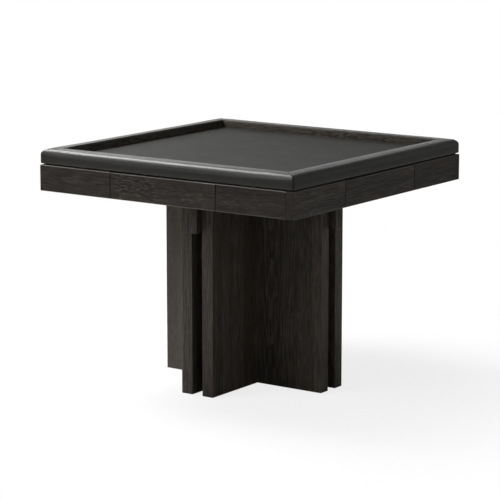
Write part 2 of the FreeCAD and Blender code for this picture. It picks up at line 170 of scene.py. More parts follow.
class NodeBench:
    """A node tree, with the steps that the finishes and the studio share."""

    def __init__(self, owner: Union[Material, bpy.types.World]) -> None:
        """Empties a node tree.

        Args:
            owner: The material or world that the tree belongs to.
        """
        owner.use_nodes = True
        self.tree = owner.node_tree
        self.tree.nodes.clear()

    def node(self, kind: str, sockets: Optional[dict[Any, Any]] = None, **settings: Any) -> bpy.types.Node:
        """Adds a node.

        Args:
            kind: The node's type.
            sockets: Values or links of inputs, by name or number.
            settings: Properties that are set before the inputs.

        Returns:
            The new node.
        """
        made = self.tree.nodes.new(kind)
        for key, value in settings.items():
            setattr(made, key, value)
        for key, value in (sockets or {}).items():
            if isinstance(value, Signal):
                value = value.socket
            if isinstance(value, Socket):
                self.tree.links.new(value, made.inputs[key])
            else:
                made.inputs[key].default_value = value
        return made

    def maths(self, operation: str, *operands: Operand) -> Signal:
        """Adds a Math node on one or two operands."""
        node = self.node("ShaderNodeMath", dict(enumerate(operands)), operation=operation)
        return Signal(self, node.outputs[0])

    def vectors(self, operation: str, *operands: Any) -> Socket:
        """Adds a Vector Math node on one or two operands."""
        node = self.node("ShaderNodeVectorMath", dict(enumerate(operands)), operation=operation)
        return node.outputs[0]

    def place(self, turn: Point = (0, 0, 0), shift: Point = (0, 0, 0)) -> Socket:
        """The surface's own place on the object.

        Args:
            turn: Euler angles that turn the place first.
            shift: What is added to the turned place.

        Returns:
            The place as a vector.
        """
        coordinates = self.node("ShaderNodeTexCoord").outputs["Object"]
        sockets = {"Vector": coordinates, "Rotation": turn, "Location": shift}
        return self.node("ShaderNodeMapping", sockets).outputs[0]

    def parts(self, vector: Socket) -> list[Signal]:
        """The three numbers of a vector."""
        split = self.node("ShaderNodeSeparateXYZ", {0: vector})
        return [Signal(self, output) for output in split.outputs]

    def noise(self, place: Socket, counts: Point, detail: float = 2.0) -> Signal:
        """Soft noise about 0.5, by its waves to a metre along each axis and its finer layers."""
        sockets = {"Vector": self.vectors("MULTIPLY", place, counts), "Scale": 1.0, "Detail": detail}
        return Signal(self, self.node("ShaderNodeTexNoise", sockets).outputs[0])

    def sway(self, place: Socket, counts: Point, reach: Point) -> Socket:
        """A place pushed about by slow noise.

        Args:
            place: Where on the surface.
            counts: How many waves there are to a metre along each axis.
            reach: How far the push goes along each axis, from end to end.

        Returns:
            The pushed place.
        """
        sockets = {"Vector": self.vectors("MULTIPLY", place, counts), "Scale": 1.0, "Detail": 2.0}
        wave = self.node("ShaderNodeTexNoise", sockets).outputs["Color"]
        push = self.vectors("MULTIPLY", self.vectors("SUBTRACT", wave, even(0.5)), reach)
        return self.vectors("ADD", place, push)

    def cells(self, place: Socket, size: float, feature: str = "F1") -> Signal:
        """How far a place is from a feature of a pattern of cells, in widths of a cell."""
        sockets = {"Vector": place, "Scale": 1 / size}
        return Signal(self, self.node("ShaderNodeTexVoronoi", sockets, feature=feature).outputs[0])

    def blend(self, share: Operand, first: Any, second: Any) -> Socket:
        """A mix of two colours.

        Args:
            share: How much of the second colour there is.
            first: The first colour.
            second: The second colour.

        Returns:
            The mixed colour.
        """
        colours = [(*c, 1.0) if isinstance(c, tuple) else c for c in (first, second)]
        sockets = {0: share, 6: colours[0], 7: colours[1]}
        return self.node("ShaderNodeMix", sockets, data_type="RGBA").outputs[2]

    def ramp(self, level: Signal, stops: Sequence[tuple[float, Colour]]) -> Socket:
        """A colour looked up by a level.

        Args:
            level: The level.
            stops: Pairs of a level from 0 to 1 and its colour.

        Returns:
            The colour.
        """
        node = self.node("ShaderNodeValToRGB", {0: level})
        elements = node.color_ramp.elements
        while len(elements) < len(stops):
            elements.new(1.0)
        for element, (place, colour) in zip(elements, stops):
            element.position = place
            element.color = (*colour, 1.0)
        return node.outputs[0]

    def relief(self, height: Signal, depth: float, strength: float) -> Socket:
        """A normal tipped, as strongly as given, by a height of which 1 measures the depth."""
        sockets = {"Height": height, "Distance": depth, "Strength": strength}
        return self.node("ShaderNodeBump", sockets).outputs[0]


class FinishBench(NodeBench):
    """The node tree of one material."""

    def __init__(self, name: str) -> None:
        """Starts an empty material of a given name."""
        self.material = bpy.data.materials.new(name)
        super().__init__(self.material)

    def finish(self, **sockets: Any) -> Material:
        """Closes the material with its surface shader.

        Args:
            sockets: The shader's inputs, by name with underscores for spaces.

        Returns:
            The finished material.
        """
        named = {key.replace("_", " "): value for key, value in sockets.items()}
        surface = self.node("ShaderNodeBsdfPrincipled", named)
        self.node("ShaderNodeOutputMaterial", {"Surface": surface.outputs[0]})
        return self.material


# Finishes


class Grain(Enum):
    """The oak's patterns: waves to a metre along the grain and across it, and how many finer layers."""

    BROAD = (0.9, 26.0, 3.0)
    STREAKS = (14.0, 240.0, 3.0)
    HAIRS = (30.0, 800.0, 1.0)
    PATCHES = (7.0, 7.0, 2.0)
    FIGURE = (45.0, 160.0, 2.0)
    PORES = (45.0, 1100.0, 1.0)
    # light flecks of the grain, with painted glints of the brushed surface
    FLECKS = (30.0, 360.0, 2.0)
    WARMTH = (1.6, 16.0, 2.0)

    def on(self, bench: FinishBench, place: Socket) -> Signal:
        """This pattern at a place on the board, about 0.5."""
        along, across, detail = self.value
        return bench.noise(place, (along, across, across), detail)


@dataclass(frozen=True)
class StainedOak:
    """Open-grained oak, brushed and stained brown-black, for one board."""

    name: str
    turn: Point  # brings the grain to X, the depth of the board to Y and its face's width to Z
    shift: Point  # brings the board's middle to the origin
    half: Point  # half of the board's size, turned
    number: int  # sets this board's figure apart from the others'
    leaf: float  # width of a veneer leaf, or 0 on a board of one leaf
    paler: float  # how much more light wood this board shows, partly its own tone and partly painted light for how brightly it is lit
    wear: float  # how much of the stain has gone from its edges; on the front's level boards it is mostly a painted highlight along them
    figure: float  # how much the patches of short, wavy figure stand out
    light: Colour
    dark: Colour = (0.0052, 0.0041, 0.0032)
    middle: Colour = (0.0165, 0.0130, 0.0101)
    russet: Colour = (0.026, 0.0155, 0.0098)
    # pale wood of the rubbed edges, also the colour of the painted highlight along the front's edges
    bare: Colour = (0.36, 0.342, 0.315)
    stops: Point = (0.4, 0.51, 0.64)  # the tones of the dark, the middle and the light wood
    base_tone: float = 0.155  # what the patterns add to
    leaf_tones: float = 0.06  # how far the tones of the leaves differ
    board_step: Point = (3.7, 0.9, 1.3)  # between the patterns of two boards
    leaf_step: tuple[float, float] = (1.37, 0.61)  # between the patterns of two leaves
    ring_step: float = 0.0045
    skin: float = 0.0003  # how deep the stain of an end goes
    edge: tuple[float, float] = (0.0009, 0.0028)  # how far the wear of an edge, and the front's painted highlight, reaches

    def _chance(self, step: float) -> float:
        """A number from 0 to 1 that differs from board to board, in another way for each step."""
        return (self.number * step) % 1.0

    def material(self) -> Material:
        """Builds the finish.

        Returns:
            The material.
        """
        bench = FinishBench(self.name)
        board = bench.place(self.turn, self.shift)
        own = tuple(step * self.number for step in self.board_step)
        streak_place = bench.vectors("ADD", board, own)
        # the board's own tone together with its painted light
        tone_and_light_shift: Operand = self.paler
        if self.leaf:
            across = bench.parts(board)[2]
            leaf = bench.maths("FLOOR", (across + self.leaf * self._chance(0.37)) * (1 / self.leaf))
            steps = {axis: leaf * step for axis, step in enumerate(self.leaf_step)}
            jump = bench.node("ShaderNodeCombineXYZ", steps).outputs[0]
            streak_place = bench.vectors("ADD", streak_place, jump)
            leaf_chance = bench.maths("FRACT", leaf * 0.382 + self._chance(0.71))
            tone_and_light_shift = leaf_chance * self.leaf_tones + (self.paler - self.leaf_tones / 2)
        fibres = bench.sway(streak_place, counts=(1.7, 9.0, 9.0), reach=(0.0, 0.024, 0.024))
        waved = bench.sway(fibres, counts=(12.0, 60.0, 60.0), reach=(0.0, 0.003, 0.003))
        rings = self._rings(bench, board)
        broad = Grain.BROAD.on(bench, fibres)
        streaks = Grain.STREAKS.on(bench, waved)
        hairs = Grain.HAIRS.on(bench, waved)
        patches = Grain.PATCHES.on(bench, streak_place).rising(0.4, 0.6)
        figure = (Grain.FIGURE.on(bench, waved) - 0.5) * patches
        pores = Grain.PORES.on(bench, waved).rising(0.58, 0.68)
        flecks_and_glints = Grain.FLECKS.on(bench, waved).rising(0.55, 0.72)
        tone = broad * 0.2 + streaks * 0.3 + rings * 0.07 + hairs * 0.12 + (tone_and_light_shift + self.base_tone)
        tone = tone + figure * self.figure
        colour = bench.ramp(tone, tuple(zip(self.stops, (self.dark, self.middle, self.light))))
        warm = Grain.WARMTH.on(bench, streak_place).rising(0.45, 0.7) * 0.3
        colour = bench.blend(warm, colour, self.russet)
        # light flecks, partly painted glints of the brushed grain
        colour = bench.blend(flecks_and_glints * 0.3, colour, self.light)
        colour = bench.blend(pores * 0.6, colour, self.dark)
        colour = bench.blend(self._end_grain(bench, board) * 0.5, colour, self.dark)
        # rubbed edges, which on the front's level boards are mostly a painted highlight
        colour = bench.blend(self._wear(bench, board, broad) * self.wear, colour, self.bare)
        height = streaks * 0.6 + hairs * 0.35 + rings * 0.2 + flecks_and_glints * 0.2 - pores * 0.5
        return bench.finish(
            Base_Color=colour,
            Roughness=0.6 - streaks * 0.22 + pores * 0.15,
            Specular_IOR_Level=0.14,
            Normal=bench.relief(height, depth=0.0006, strength=0.5),
        )

    def _wear(self, bench: FinishBench, board: Socket, patches: Signal) -> Signal:
        """The rubbed edges along the grain, which are near two of the board's faces at once; on the
        front's level boards they carry a painted highlight.

        Args:
            bench: The node tree.
            board: The place on the board.
            patches: Where more of the stain has gone.

        Returns:
            The wear, from 0 to 1.
        """
        _, depth, width = bench.parts(board)
        from_face = self.half[1] - bench.maths("ABSOLUTE", depth)
        from_side = self.half[2] - bench.maths("ABSOLUTE", width)
        inward = bench.maths("MAXIMUM", from_face, from_side)
        upper = 0.3 + width.rising(0.0, self.half[2]) * 0.7  # the lower edges get less of it than the upper
        return (1 - inward.rising(*self.edge)) * (0.45 + patches.rising(0.35, 0.6) * 0.55) * upper

    def _end_grain(self, bench: FinishBench, board: Socket) -> Signal:
        """The two ends of the board, which take more of the stain."""
        along = bench.maths("ABSOLUTE", bench.parts(board)[0])
        return along.rising(self.half[0] - 2 * self.skin, self.half[0] - self.skin)

    def _rings(self, bench: FinishBench, board: Socket) -> Signal:
        """The growth rings, cut at a slight slant so that they arch over the board's face.

        Args:
            bench: The node tree.
            board: The place on the board.

        Returns:
            The rings, from 0 to 1.
        """
        swayed = bench.sway(board, counts=(3.0, 11.0, 11.0), reach=(0.0, 0.02, 0.02))
        pith = (0.0, -0.04 - 0.06 * self._chance(0.618), 0.1 * (self._chance(0.414) - 0.5))
        lean = (0.0, 0.03 * (self._chance(0.29) - 0.5), 0.018 + 0.022 * self._chance(0.53))
        sockets = {"Vector": swayed, "Location": pith, "Rotation": lean}
        slanted = bench.node("ShaderNodeMapping", sockets).outputs[0]
        settings = {"wave_type": "RINGS", "rings_direction": "X", "wave_profile": "SAW"}
        sockets = {
            "Vector": bench.vectors("MULTIPLY", slanted, (0.1, 1.0, 1.0)),
            "Scale": math.pi / 10 / self.ring_step,  # at a scale of 1, rings are pi / 10 apart
            "Distortion": 2.5,
            "Detail": 3.0,
            "Detail Scale": 0.8,
        }
        return Signal(bench, bench.node("ShaderNodeTexWave", sockets, **settings).outputs["Fac"])


@dataclass(frozen=True)
class BlackBoard:
    """Plain board stained black, for what lies out of sight behind the oak."""

    name: str
    dark: Colour = (0.006, 0.0056, 0.0052)
    light: Colour = (0.02, 0.018, 0.016)

    def material(self) -> Material:
        """Builds the finish.

        Returns:
            The material.
        """
        bench = FinishBench(self.name)
        place = bench.place()
        cloud = bench.noise(place, even(14.0), detail=4.0)
        flakes = bench.cells(place, size=0.004)
        colour = bench.blend(cloud.rising(0.3, 0.7), self.dark, self.light)
        return bench.finish(
            Base_Color=colour,
            Roughness=0.68 + flakes * 0.1,
            Specular_IOR_Level=0.25,
            Normal=bench.relief(flakes, depth=0.0002, strength=0.3),
        )


@dataclass(frozen=True)
class Leather:
    """Dyed leather with a fine pebbled grain and a few finer creases."""

    name: str
    base: Colour
    worn: Colour
    pebble: float  # width of one bump of the grain
    relief: float  # depth of the grain
    roughness: float
    specular: float
    sheen_change: float  # how much the roughness varies
    hollow: Colour = even(0.004)  # painted shade between the bumps and in the creases

    def material(self) -> Material:
        """Builds the finish.

        Returns:
            The material.
        """
        bench = FinishBench(self.name)
        place = bench.place()
        loose = bench.sway(place, counts=even(260.0), reach=even(0.0012))
        pebbles = bench.cells(loose, self.pebble, "SMOOTH_F1")
        creases = 1 - bench.cells(loose, self.pebble * 4, "DISTANCE_TO_EDGE").rising(0.0, 0.1)
        cloud = bench.noise(place, even(8.0), detail=4.0)
        rubbed = bench.noise(place, even(2.2))
        tone = cloud.rising(0.3, 0.7) * 0.6 + rubbed.rising(0.35, 0.65) * 0.4
        colour = bench.blend(tone, self.base, self.worn)
        # painted shade in the hollows between the bumps and in the creases
        colour = bench.blend(pebbles * 0.35 + creases * 0.2, colour, self.hollow)
        height = creases * -0.4 - pebbles
        return bench.finish(
            Base_Color=colour,
            Roughness=self.roughness + (cloud - 0.5) * self.sheen_change + creases * 0.08,
            Specular_IOR_Level=self.specular,
            Normal=bench.relief(height, self.relief, strength=0.5),
        )


RIM_LEATHER = Leather(
    name="rim_leather",
    base=(0.0112, 0.0106, 0.0085),
    worn=(0.018, 0.0172, 0.0141),
    pebble=0.0011,
    relief=0.00025,
    roughness=0.37,
    specular=0.18,
    sheen_change=0.16,
)
PLAYING_LEATHER = Leather(
    name="playing_leather",
    base=(0.0075, 0.0074, 0.0065),
    worn=(0.0158, 0.0155, 0.0140),
    pebble=0.0008,
    relief=0.0002,
    roughness=0.72,
    specular=0.12,
    sheen_change=0.3,
)


@dataclass(frozen=True)
class BirchPly:
    """Lacquered birch plywood for a drawer's box, with its layers showing on the upper edges."""

    name: str
    turn: Point  # brings this drawer to the front
    side_inside: float  # from the drawer's middle to the inner faces of its sides
    pale: Colour = (0.60, 0.45, 0.29)
    brown: Colour = (0.47, 0.325, 0.19)
    layer_dark: Colour = (0.27, 0.165, 0.085)
    layer_step: float = 0.0027

    def material(self) -> Material:
        """Builds the finish.

        Returns:
            The material.
        """
        bench = FinishBench(self.name)
        x, y, z = bench.parts(bench.place(self.turn))
        in_side = bench.maths("GREATER_THAN", bench.maths("ABSOLUTE", x), self.side_inside)
        along = x + (y - x) * in_side
        through = y + (x - y) * in_side
        flat = bench.node("ShaderNodeCombineXYZ", {0: along, 1: z, 2: through}).outputs[0]
        swayed = bench.sway(flat, counts=(3.0, 14.0, 14.0), reach=(0.0, 0.02, 0.0))
        figure = bench.noise(swayed, (3.0, 90.0, 30.0), detail=3.0)
        fine = bench.noise(flat, (25.0, 900.0, 200.0), detail=1.0)
        face = bench.blend(figure.rising(0.3, 0.72) * 0.7 + fine * 0.3, self.pale, self.brown)
        wave = bench.maths("SINE", through * (2 * math.pi / self.layer_step))
        layers = bench.blend(wave.rising(-0.2, 0.3), self.pale, self.layer_dark)
        normal = bench.node("ShaderNodeTexCoord").outputs["Normal"]
        upward = bench.parts(normal)[2].rising(0.6, 0.8)
        return bench.finish(
            Base_Color=bench.blend(upward, face, layers),
            Roughness=0.42 + fine * 0.1,
            Specular_IOR_Level=0.4,
            Normal=bench.relief(fine + figure * 0.4, depth=0.0002, strength=0.3),
        )


@dataclass(frozen=True)
class Felt:
    """Pressed wool felt."""

    name: str
    base: Colour = (0.014, 0.0135, 0.013)
    fibre: Colour = (0.045, 0.043, 0.041)

    def material(self) -> Material:
        """Builds the finish.

        Returns:
            The material.
        """
        bench = FinishBench(self.name)
        place = bench.place()
        matted = bench.sway(place, counts=even(400.0), reach=even(0.004))
        hairs = bench.noise(matted, even(700.0), detail=3.0)
        cloud = bench.noise(place, even(30.0), detail=3.0)
        return bench.finish(
            Base_Color=bench.blend(hairs.rising(0.4, 0.75) * 0.7 + cloud * 0.3, self.base, self.fibre),
            Roughness=0.95 - hairs * 0.1,
            Specular_IOR_Level=0.15,
            Sheen_Weight=0.25,
            Normal=bench.relief(hairs, depth=0.0006, strength=0.7),
        )


@dataclass(frozen=True)
class ZincSteel:
    """Rolled steel with bright zinc plating."""

    name: str
    dull: Colour = (0.40, 0.41, 0.42)
    bright: Colour = (0.66, 0.67, 0.68)

    def material(self) -> Material:
        """Builds the finish.

        Returns:
            The material.
        """
        bench = FinishBench(self.name)
        place = bench.place()
        spangle = bench.cells(place, size=0.006)
        rolled = bench.noise(place, (40.0, 40.0, 900.0))
        return bench.finish(
            Base_Color=bench.blend(spangle * 0.6 + rolled * 0.4, self.dull, self.bright),
            Metallic=1.0,
            Roughness=0.28 + rolled * 0.18,
            Normal=bench.relief(rolled, depth=0.0001, strength=0.2),
        )


@dataclass(frozen=True)
class Mottled:
    """A plain material with a cloudy tone and a fine tooth, such as moulded nylon or bare wood."""

    name: str
    base: Colour
    light: Colour
    roughness: float
    counts: Point  # waves of the tone to a metre along each axis

    def material(self) -> Material:
        """Builds the finish.

        Returns:
            The material.
        """
        bench = FinishBench(self.name)
        place = bench.place()
        cloud = bench.noise(place, self.counts, detail=4.0)
        tooth = bench.noise(place, even(1500.0), detail=1.0)
        return bench.finish(
            Base_Color=bench.blend(cloud.rising(0.3, 0.7), self.base, self.light),
            Roughness=self.roughness + (tooth - 0.5) * 0.2,
            Specular_IOR_Level=0.4,
            Normal=bench.relief(tooth, depth=0.0001, strength=0.3),
        )


# Each of these is named for the material slot that it goes to
PLAIN_FINISHES = (
    BlackBoard("black_board"),
    ZincSteel("zinc_steel"),
    Mottled("drawer_bottom_ply", (0.42, 0.30, 0.18), (0.55, 0.41, 0.26), 0.5, (6.0, 60.0, 60.0)),
    Mottled("beech", (0.45, 0.29, 0.16), (0.56, 0.38, 0.22), 0.55, (30.0, 30.0, 90.0)),
    Mottled("black_nylon", even(0.012), even(0.022), 0.5, even(60.0)),
)


# Modelling


class Workbench:
    """Handling of objects and edit mode that the modelled pieces share."""

    @staticmethod
    def clear() -> None:
        """Leaves edit mode and deselects everything."""
        if bpy.context.object and bpy.context.object.mode != "OBJECT":
            bpy.ops.object.mode_set(mode="OBJECT")
        bpy.ops.object.select_all(action="DESELECT")

    @classmethod
    def pick(cls, piece: Piece) -> None:
        """Selects one piece alone and makes it active.

        Args:
            piece: The piece.
        """
        cls.clear()
        piece.select_set(True)
        bpy.context.view_layer.objects.active = piece

    @staticmethod
    def select_edges_along_x(piece: Piece) -> None:
        """Selects the edges that run along X, in edit mode.

        Args:
            piece: The piece that is being edited.
        """
        bpy.ops.mesh.select_mode(type="EDGE")
        bpy.ops.mesh.select_all(action="DESELECT")
        mesh = bmesh.from_edit_mesh(piece.data)
        for edge in mesh.edges:
            run = edge.verts[1].co - edge.verts[0].co
            edge.select_set(abs(run.x) > ALONG_SHARE * run.length)
        bmesh.update_edit_mesh(piece.data)

    @classmethod
    def apply(cls, piece: Piece, kind: str, **settings: Any) -> None:
        """Adds a modifier, sets it and applies it.

        Args:
            piece: The piece that gets it.
            kind: The modifier's type.
            settings: Its properties.
        """
        cls.pick(piece)
        modifier = piece.modifiers.new(kind.title(), kind)
        for key, value in settings.items():
            setattr(modifier, key, value)
        bpy.ops.object.modifier_apply(modifier=modifier.name)

    @classmethod
    def smooth(cls, piece: Piece) -> None:
        """Shades a piece smooth, with its sharp edges kept."""
        cls.pick(piece)
        bpy.ops.object.shade_smooth_by_angle(angle=SMOOTH_ANGLE)

    @staticmethod
    def copy_round(piece: Piece, name: str) -> list[Piece]:
        """Replaces a piece of the front by a copy on each side, with a mesh of its own.

        Args:
            piece: The piece at the front.
            name: What the copies are called, after their side.

        Returns:
            The four copies.
        """
        copies = []
        for side in Side:
            copy = piece.copy()
            copy.data = piece.data.copy()
            copy.data.transform(side.turn)
            copy.name = f"{side.prefix}_{name}"
            bpy.context.scene.collection.objects.link(copy)
            copies.append(copy)
        bpy.data.objects.remove(piece)
        return copies

    @staticmethod
    def dress(piece: Piece, material: Material) -> None:
        """Puts one material on all of a piece.

        Args:
            piece: The piece.
            material: What it gets.
        """
        if not piece.material_slots:
            piece.data.materials.append(material)
        for slot in piece.material_slots:
            slot.material = material


class SectionPen:
    """Draws an upright outline across the X axis by extruding and spinning one vertex."""

    def __init__(self, start: Vector) -> None:
        """Sets the pen down.

        Args:
            start: The outline's first point.
        """
        Workbench.clear()
        bpy.ops.mesh.primitive_plane_add(size=1.0)
        self.piece = bpy.context.object
        self.place = start
        bpy.ops.object.mode_set(mode="EDIT")
        bpy.ops.mesh.merge(type="CENTER")
        bpy.ops.transform.translate(value=start)

    def line(self, end: Vector, steps: int = 1) -> None:
        """Draws a straight stretch.

        Args:
            end: Where it ends.
            steps: How many edges it has.
        """
        stride = (end - self.place) / steps
        for _ in range(steps):
            bpy.ops.mesh.extrude_region_move(TRANSFORM_OT_translate={"value": stride})
        self.place = end

    def arc(self, centre: Vector, angle: float, steps: int) -> None:
        """Draws an arc about a centre, in so many edges, by an angle from Y towards Z."""
        bpy.ops.mesh.spin(steps=steps, angle=-angle, center=centre, axis=(1, 0, 0))
        self.place = centre + Matrix.Rotation(angle, 3, "X") @ (self.place - centre)

    def close(self, length: float) -> None:
        """Fills the outline and draws it out along X.

        Args:
            length: How far it is drawn out.
        """
        bpy.ops.mesh.select_all(action="SELECT")
        bpy.ops.mesh.edge_face_add()
        bpy.ops.mesh.extrude_region_move(TRANSFORM_OT_translate={"value": (length, 0, 0)})
        bpy.ops.mesh.select_all(action="SELECT")
        bpy.ops.mesh.normals_make_consistent(inside=False)


# Sub-assemblies


@dataclass
class PaddedRim:
    """The four leather pads of the rim, crowned over their cores and sewn together at the mitres."""

    crown_width: float = 0.045  # from the outer face to where the crown runs level
    crown_rise: float = 0.02
    shoulder_share: float = 0.95  # radius of the outer shoulder, as a share of the rise
    foot_radius: float = 0.0045
    lip_radius: float = 0.002
    corner_radius: float = 0.004
    shoulder_depth: float = 0.0025  # from the foot of the crown down to the core's shoulder
    swell: float = 0.0008  # how far the padding pushes the leather out
    step: float = 0.006  # between the cuts along a pad
    seam_cuts: tuple[float, ...] = (0.001, 0.002, 0.0032, 0.0048, 0.007, 0.01, 0.014, 0.019)
    seam_depth: float = 0.0013
    seam_width: float = 0.0014
    groove_depth: float = 0.0009
    groove_width: float = 0.0013
    groove_share: float = 0.5  # where the seam along the top lies, as a share of the rim's width
    pucker_depth: float = 0.00028
    pucker_reach: float = 0.011
    pucker_step: float = 0.0085
    lip_steps: int = 5  # edges of each stretch of the section
    level_steps: int = 2
    crown_steps: int = 34
    shoulder_steps: int = 14
    face_steps: int = 7
    foot_steps: int = 6
    frames: int = 20
    pressure: float = 4.0
    stretch_stiffness: float = 60.0
    bending_stiffness: float = 8.0
    cloth_quality: int = 5

    def __post_init__(self) -> None:
        """Reads the front pad's place from the frame."""
        low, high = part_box("front_rim_pad")
        core_low, core_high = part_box("front_rim_core")
        self.half = -low.y
        self.width = high.y - low.y
        self.foot = low.z
        self.top = high.z
        self.core_top = core_high.z
        self.side_thick = core_low.y - low.y
        self.crown_foot = high.z - self.crown_rise

    def at(self, across: float, height: float) -> Vector:
        """A point of the section at the left end, by its distance from the outer face and its height."""
        return Vector((-self.half, across - self.half, height))

    def build(self) -> list[Piece]:
        """Models the front pad and copies it to the other sides.

        Returns:
            The four pads.
        """
        pad = self._drawn_pad()
        self._cut_mitres(pad)
        self._round_corners(pad)
        self._stuff(pad)
        self._draw_in_seams(pad)
        Workbench.smooth(pad)
        return Workbench.copy_round(pad, "rim_leather")

    def dress(self, pads: Sequence[Piece], leather: Leather) -> None:
        """Gives the pads their leather and their places on the table.

        Args:
            pads: The four pads.
            leather: Their finish.
        """
        material = leather.material()
        for pad, side in zip(pads, Side):
            Workbench.dress(pad, material)
            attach(pad, "table")
            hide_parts(side.prefix + "_rim_pad")

    def _drawn_pad(self) -> Piece:
        """Draws the section, a little slack, and draws it out to the side's length.

        Returns:
            The pad, with square ends.
        """
        slack_top = self.top - self.swell
        shoulder = self.crown_rise * self.shoulder_share
        reach = self.crown_width - shoulder
        wide = (reach**2 - shoulder**2 + self.crown_rise**2) / (self.crown_rise - shoulder) / 2
        wide_centre = self.at(self.crown_width, self.top - wide)
        meeting = math.atan2(self.crown_foot - wide_centre.z, -reach)
        pen = SectionPen(self.at(self.width, self.core_top))
        pen.line(self.at(self.width, slack_top - self.lip_radius))
        lip_centre = self.at(self.width - self.lip_radius, slack_top - self.lip_radius)
        pen.arc(lip_centre, QUARTER_TURN, self.lip_steps)
        pen.line(self.at(self.crown_width, slack_top), self.level_steps)
        pen.arc(wide_centre, meeting - QUARTER_TURN, self.crown_steps)
        pen.arc(self.at(shoulder, self.crown_foot), 2 * QUARTER_TURN - meeting, self.shoulder_steps)
        pen.line(self.at(self.swell, self.foot + self.foot_radius), self.face_steps)
        foot_centre = self.at(self.swell + self.foot_radius, self.foot + self.foot_radius)
        pen.arc(foot_centre, QUARTER_TURN, self.foot_steps)
        pen.line(self.at(self.side_thick, self.foot))
        pen.line(self.at(self.side_thick, self.crown_foot - self.shoulder_depth))
        pen.line(self.at(self.crown_width, self.core_top))
        pen.close(2 * self.half)
        Workbench.select_edges_along_x(pen.piece)
        bpy.ops.mesh.subdivide(number_cuts=round(2 * self.half / self.step) - 1)
        return pen.piece

    def _cut_mitres(self, pad: Piece) -> None:
        """Cuts both ends at 45 degrees, with finer cuts beside them, in edit mode.

        Args:
            pad: The pad with square ends.
        """
        for way in (1, -1):
            inward = Vector((way, -1, 0)).normalized()
            corner = Vector((-way * self.half, -self.half, 0))
            bpy.ops.mesh.select_all(action="SELECT")
            bpy.ops.mesh.bisect(plane_co=corner, plane_no=inward, clear_inner=True, use_fill=True)
            for inset in self.seam_cuts:
                bpy.ops.mesh.select_all(action="SELECT")
                bpy.ops.mesh.bisect(plane_co=corner + inward * inset, plane_no=inward)
        Workbench.pick(pad)

    def _round_corners(self, pad: Piece) -> None:
        """Turns the pad's outer layers round the table's corners.

        Args:
            pad: The mitred pad.
        """
        start = self.half - self.corner_radius
        for vertex in pad.data.vertices:
            radius = self.corner_radius - (vertex.co.y + self.half)
            past = abs(vertex.co.x) - start
            if radius <= 0 or past <= 0:
                continue
            angle = min(past / radius, 1.0) * QUARTER_TURN / 2
            vertex.co.x = math.copysign(start + radius * math.sin(angle), vertex.co.x)
            vertex.co.y = -start - radius * math.cos(angle)

    def _mitre_distance(self, place: Vector) -> float:
        """How far a point is from the nearer mitre."""
        return (-place.y - abs(place.x)) / math.sqrt(2)

    def _is_skin(self, place: Vector) -> bool:
        """Whether a point is on the outer leather and not on the core or at the pad's edges.

        Args:
            place: The point.

        Returns:
            True on the outer leather.
        """
        across = place.y + self.half
        at_foot = place.z < self.foot + self.foot_radius / 2
        at_lip = across > self.width - self.lip_radius / 2
        on_side = across > self.side_thick / 2 and place.z < self.crown_foot
        over_core = across > self.crown_width - self.lip_radius
        on_top = over_core and place.z < self.core_top + self.lip_radius / 2
        return not (at_foot or at_lip or on_side or on_top)

    def _stuff(self, pad: Piece) -> None:
        """Lets the padding push the leather out, as cloth under pressure that is held at its edges.

        Args:
            pad: The slack pad.
        """
        rest = [vertex.co.copy() for vertex in pad.data.vertices]
        held = pad.vertex_groups.new(name="held")
        seam = self.seam_cuts[0] / 2
        fixed = [i for i, p in enumerate(rest) if not self._is_skin(p) or self._mitre_distance(p) < seam]
        held.add(fixed, 1.0, "REPLACE")
        cloth = pad.modifiers.new("Cloth", "CLOTH")
        cloth.collision_settings.use_collision = False
        settings = cloth.settings
        settings.quality = self.cloth_quality
        settings.tension_stiffness = self.stretch_stiffness
        settings.compression_stiffness = self.stretch_stiffness
        settings.bending_stiffness = self.bending_stiffness
        settings.vertex_group_mass = held.name
        settings.use_pressure = True
        settings.uniform_pressure_force = self.pressure
        settings.effector_weights.gravity = 0.0
        for step in range(1, self.frames + 1):
            bpy.context.scene.frame_set(step)
        Workbench.pick(pad)
        bpy.ops.object.modifier_apply(modifier=cloth.name)
        bpy.context.scene.frame_set(1)
        for vertex, start in zip(pad.data.vertices, rest):
            push = vertex.co - start
            if push.length > self.swell:
                vertex.co = start + push.normalized() * self.swell
        pad.vertex_groups.clear()

    def _draw_in_seams(self, pad: Piece) -> None:
        """Draws the leather in along the mitres and the seam on top, with small puckers at the mitres.

        Args:
            pad: The stuffed pad.
        """
        moves = []
        for vertex in pad.data.vertices:
            if not self._is_skin(vertex.co):
                moves.append(Vector())
                continue
            away = self._mitre_distance(vertex.co)
            round_section = vertex.co.y + self.half - vertex.co.z
            valley = self.seam_depth * math.exp(-((away / self.seam_width) ** 2))
            if vertex.co.z > self.crown_foot:
                aside = vertex.co.y + self.half - self.width * self.groove_share
                valley = max(valley, self.groove_depth * math.exp(-((aside / self.groove_width) ** 2)))
            wave = math.sin(2 * math.pi * round_section / self.pucker_step)
            pucker = self.pucker_depth * math.exp(-away / self.pucker_reach) * wave
            moves.append(vertex.normal * (pucker - valley))
        for vertex, move in zip(pad.data.vertices, moves):
            vertex.co += move


